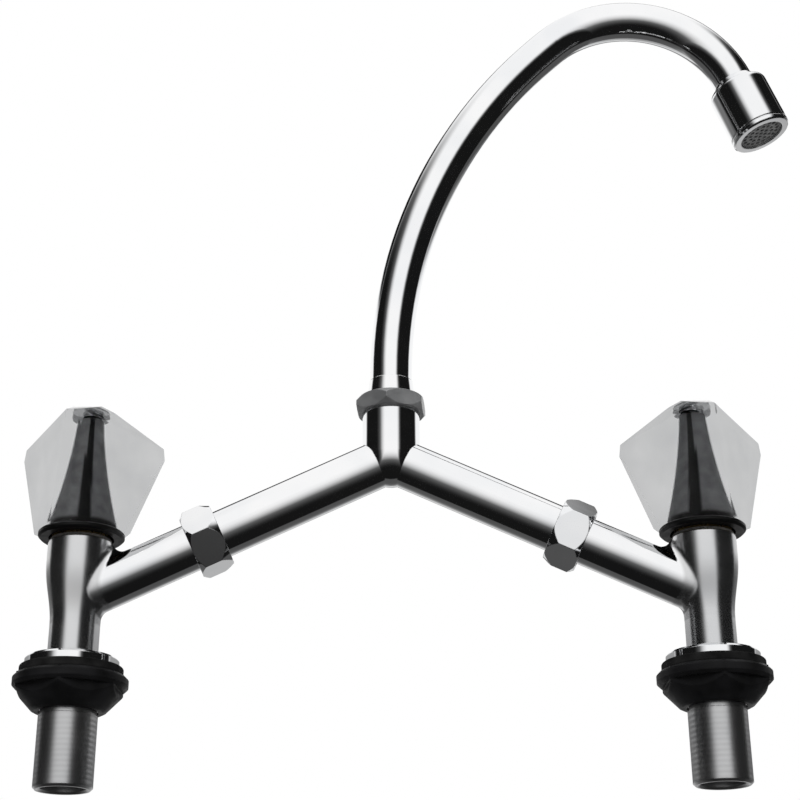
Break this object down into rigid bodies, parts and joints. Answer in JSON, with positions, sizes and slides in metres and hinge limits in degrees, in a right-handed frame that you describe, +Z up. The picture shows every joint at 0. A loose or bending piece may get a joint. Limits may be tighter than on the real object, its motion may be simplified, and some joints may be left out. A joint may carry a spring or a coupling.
{
  "type": "swivel spout basin faucet",
  "caption": "Bridge basin mixer with clear lobed handles on tap pillars, a Y bridge on union nuts and a swan-neck swivel spout with an aerator.",
  "frame": {"origin": "on the deck plane under the pillars' flanges, midway between the two tails", "axes": "+Z up along the spout's swivel axis; X runs through both pillars, with +X towards the side that the spout points to at rest; -Y is the front"},
  "size_m": [0.3009, 0.0497, 0.3223],
  "materials": {
    "chrome": "polished chrome plate on brass",
    "brass": "turned",
    "steel": "plain",
    "rubber_black": "matte",
    "plastic_black": "satin moulded",
    "plastic_grey": "moulded",
    "acrylic_clear": "clear, slightly milky acrylic",
    "fibre": "pressed black fibre",
    "nylon_white": "plain"
  },
  "bodies": {
    "body": {"left_pillar_body": "chrome", "left_deck_washer": "rubber_black", "left_back_nut": "plastic_black", "left_bonnet_seal": "fibre", "left_bonnet": "brass", "left_union_nut": "chrome", "left_union_seal": "fibre", "right_pillar_body": "chrome", "right_deck_washer": "rubber_black", "right_back_nut": "plastic_black", "right_bonnet_seal": "fibre", "right_bonnet": "brass", "right_union_nut": "chrome", "right_union_seal": "fibre", "bridge_yoke": "chrome", "spout_nut": "chrome", "spout_bearing": "nylon_white"},
    "spout": {"spout_ferrule": "chrome", "spout_o_rings": "rubber_black", "spout_tube": "chrome", "outlet_adapter": "chrome", "aerator_housing": "chrome", "aerator_seal": "rubber_black", "aerator_insert": "plastic_grey"},
    "left_handle": {"left_spindle": "brass", "left_spindle_o_rings": "rubber_black", "left_spindle_clip": "steel", "left_handle_liner": "plastic_black", "left_handle_knob": "acrylic_clear", "left_handle_screw": "steel", "left_handle_cap": "acrylic_clear"},
    "left_valve": {"left_valve_carrier": "brass", "left_tap_washer": "rubber_black", "left_washer_screw": "brass"},
    "right_handle": {"right_spindle": "brass", "right_spindle_o_rings": "rubber_black", "right_spindle_clip": "steel", "right_handle_liner": "plastic_black", "right_handle_knob": "acrylic_clear", "right_handle_screw": "steel", "right_handle_cap": "acrylic_clear"},
    "right_valve": {"right_valve_carrier": "brass", "right_tap_washer": "rubber_black", "right_washer_screw": "brass"}
  },
  "joints": [
    {"name": "spout_swivel", "type": "hinge", "parent": "body", "child": "spout", "pos_m": [0, 0, 0.088], "axis": [0, 0, 1], "continuous": true},
    {"name": "left_handle_turn", "type": "hinge", "parent": "body", "child": "left_handle", "pos_m": [-0.113, 0, 0.05], "axis": [0, 0, 1], "range_deg": [0, 900]},
    {"name": "left_valve_lift", "type": "slide", "parent": "body", "child": "left_valve", "axis": [0, 0, 1], "range_m": [0, 0.0044], "stiffness_N_per_m": 0.05, "springref_m": 1.27},
    {"name": "right_handle_turn", "type": "hinge", "parent": "body", "child": "right_handle", "pos_m": [0.113, 0, 0.05], "axis": [0, 0, 1], "range_deg": [0, 900]},
    {"name": "right_valve_lift", "type": "slide", "parent": "body", "child": "right_valve", "axis": [0, 0, 1], "range_m": [0, 0.0044], "stiffness_N_per_m": 0.05, "springref_m": 1.27}
  ],
  "couplings": [
    {"joint": "left_valve_lift", "follows": "left_handle_turn", "m_per_rad": 0.00027852},
    {"joint": "right_valve_lift", "follows": "right_handle_turn", "m_per_rad": 0.00027852}
  ]
}
